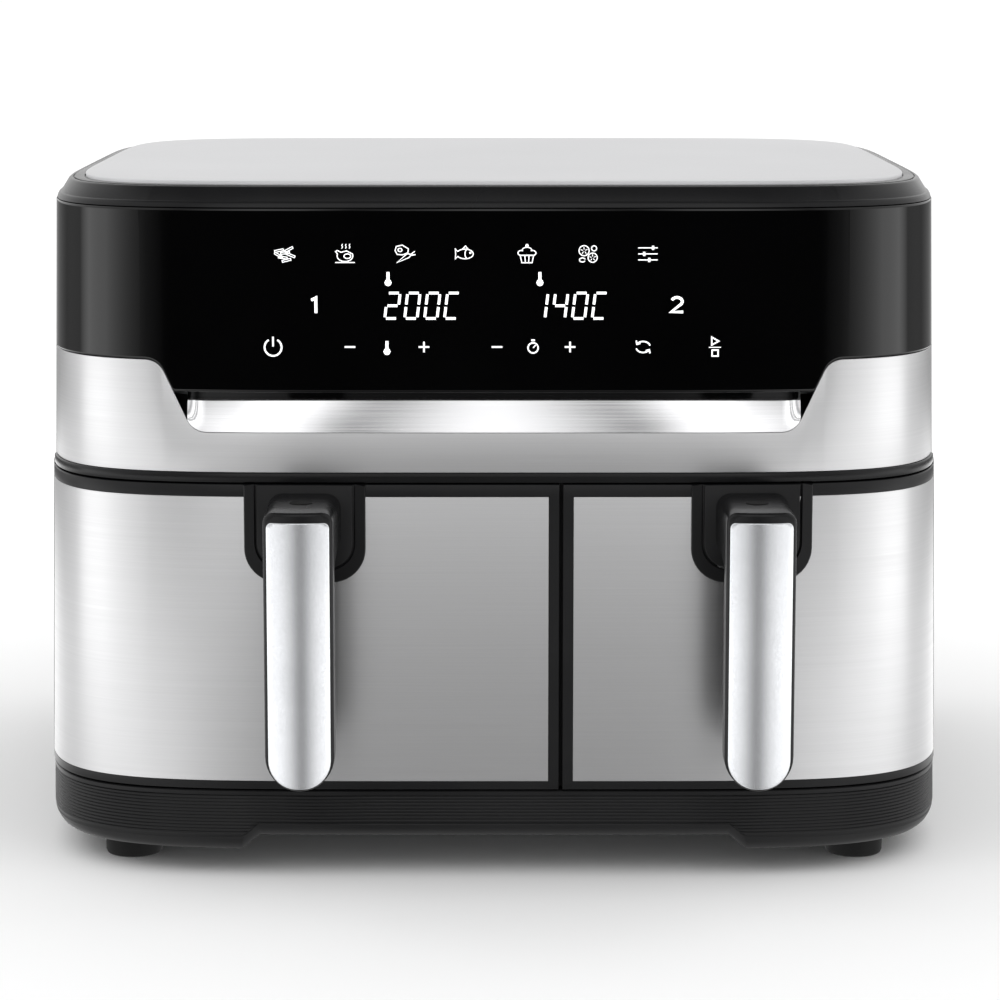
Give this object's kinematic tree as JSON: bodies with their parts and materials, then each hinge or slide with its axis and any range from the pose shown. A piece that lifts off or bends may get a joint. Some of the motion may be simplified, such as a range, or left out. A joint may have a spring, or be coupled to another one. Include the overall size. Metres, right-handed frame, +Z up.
{
  "type": "air fryer",
  "caption": "Countertop air fryer with two sliding frying drawers of different widths, pull handles, a touch control panel and a ribbed base on rubber feet.",
  "frame": {"origin": "on the table, under the middle of the bounding box", "axes": "+Z up, the drawers face -Y, +X to the right seen from the front"},
  "size_m": [0.412, 0.452, 0.307],
  "materials": {
    "black_plastic": "finely textured moulding",
    "base_plastic": "satin moulding with fine horizontal ribs",
    "ring_plastic": "semi-gloss",
    "panel_gloss": "high gloss black touch panel",
    "brushed_steel": "fine horizontal brushing",
    "polished_steel": "polished strip",
    "top_plate_metal": "satin silver",
    "satin_chrome": "satin silver with a soft shine",
    "handle_plastic": "smooth semi-gloss",
    "rubber_black": "matt rubber",
    "silicone_red": "silicone",
    "nonstick": "speckled non-stick coat",
    "galvanised": "plain sheet steel",
    "heater_steel": "heat-dulled rod",
    "motor_steel": "pressed steel can",
    "bright_steel": "bright steel",
    "board_green": "circuit board lacquer",
    "part_blue": "board components",
    "switch_plastic": "switch case",
    "plunger_red": "switch plunger",
    "led_grey": "display blocks"
  },
  "bodies": {
    "housing": {"base_housing": "base_plastic", "rubber_feet": "rubber_black", "outer_shell": "black_plastic", "upper_fascia": "black_plastic", "control_panel": "panel_gloss", "steel_band": "brushed_steel", "recess_strip": "polished_steel", "trim_strip": "ring_plastic", "top_ring": "ring_plastic", "top_plate": "top_plate_metal", "bay_frame": "black_plastic", "left_bay": "galvanised", "right_bay": "galvanised", "drawer_rails": "galvanised", "deck_plate": "galvanised", "left_reflector": "galvanised", "right_reflector": "galvanised", "left_heater": "heater_steel", "right_heater": "heater_steel", "left_guard": "bright_steel", "right_guard": "bright_steel", "left_motor": "motor_steel", "right_motor": "motor_steel", "display_board": "board_green", "led_modules": "led_grey", "main_board": "board_green", "board_parts": "part_blue", "drawer_switches": "switch_plastic", "temperature_probes": "bright_steel", "cord_gland": "rubber_black", "housing_screws": "bright_steel"},
    "left_drawer": {"left_front_frame": "black_plastic", "left_front_skin": "brushed_steel", "left_handle_cover": "ring_plastic", "left_handle": "handle_plastic", "left_handle_insert": "satin_chrome", "left_handle_plug": "handle_plastic", "left_handle_screws": "bright_steel", "left_basket": "nonstick"},
    "left_tray": {"left_grid": "nonstick", "left_grid_bumpers": "silicone_red"},
    "left_rotor": {"left_motor_shaft": "bright_steel", "left_hot_fan": "galvanised", "left_cooling_fan": "black_plastic"},
    "left_switch_button": {"left_switch_plunger": "plunger_red"},
    "right_drawer": {"right_front_frame": "black_plastic", "right_front_skin": "brushed_steel", "right_handle_cover": "ring_plastic", "right_handle": "handle_plastic", "right_handle_insert": "satin_chrome", "right_handle_plug": "handle_plastic", "right_handle_screws": "bright_steel", "right_basket": "nonstick"},
    "right_tray": {"right_grid": "nonstick", "right_grid_bumpers": "silicone_red"},
    "right_rotor": {"right_motor_shaft": "bright_steel", "right_hot_fan": "galvanised", "right_cooling_fan": "black_plastic"},
    "right_switch_button": {"right_switch_plunger": "plunger_red"}
  },
  "joints": [
    {"name": "left_drawer_slide", "type": "slide", "parent": "housing", "child": "left_drawer", "axis": [0, -1, 0], "range_m": [0, 0.3]},
    {"name": "left_grid_lift", "type": "slide", "parent": "left_drawer", "child": "left_tray", "axis": [0, 0, 1], "range_m": [0, 0.092]},
    {"name": "left_fan_spin", "type": "hinge", "parent": "housing", "child": "left_rotor", "pos_m": [-0.08285, 0.001, 0.235], "axis": [0, 0, 1], "continuous": true},
    {"name": "left_switch_press", "type": "slide", "parent": "housing", "child": "left_switch_button", "axis": [0, 1, 0], "range_m": [0, 0.0015], "stiffness_N_per_m": 200, "springref_m": -0.002},
    {"name": "right_drawer_slide", "type": "slide", "parent": "housing", "child": "right_drawer", "axis": [0, -1, 0], "range_m": [0, 0.3]},
    {"name": "right_grid_lift", "type": "slide", "parent": "right_drawer", "child": "right_tray", "axis": [0, 0, 1], "range_m": [0, 0.092]},
    {"name": "right_fan_spin", "type": "hinge", "parent": "housing", "child": "right_rotor", "pos_m": [0.11215, 0.001, 0.235], "axis": [0, 0, 1], "continuous": true},
    {"name": "right_switch_press", "type": "slide", "parent": "housing", "child": "right_switch_button", "axis": [0, 1, 0], "range_m": [0, 0.0015], "stiffness_N_per_m": 200, "springref_m": -0.002}
  ]
}
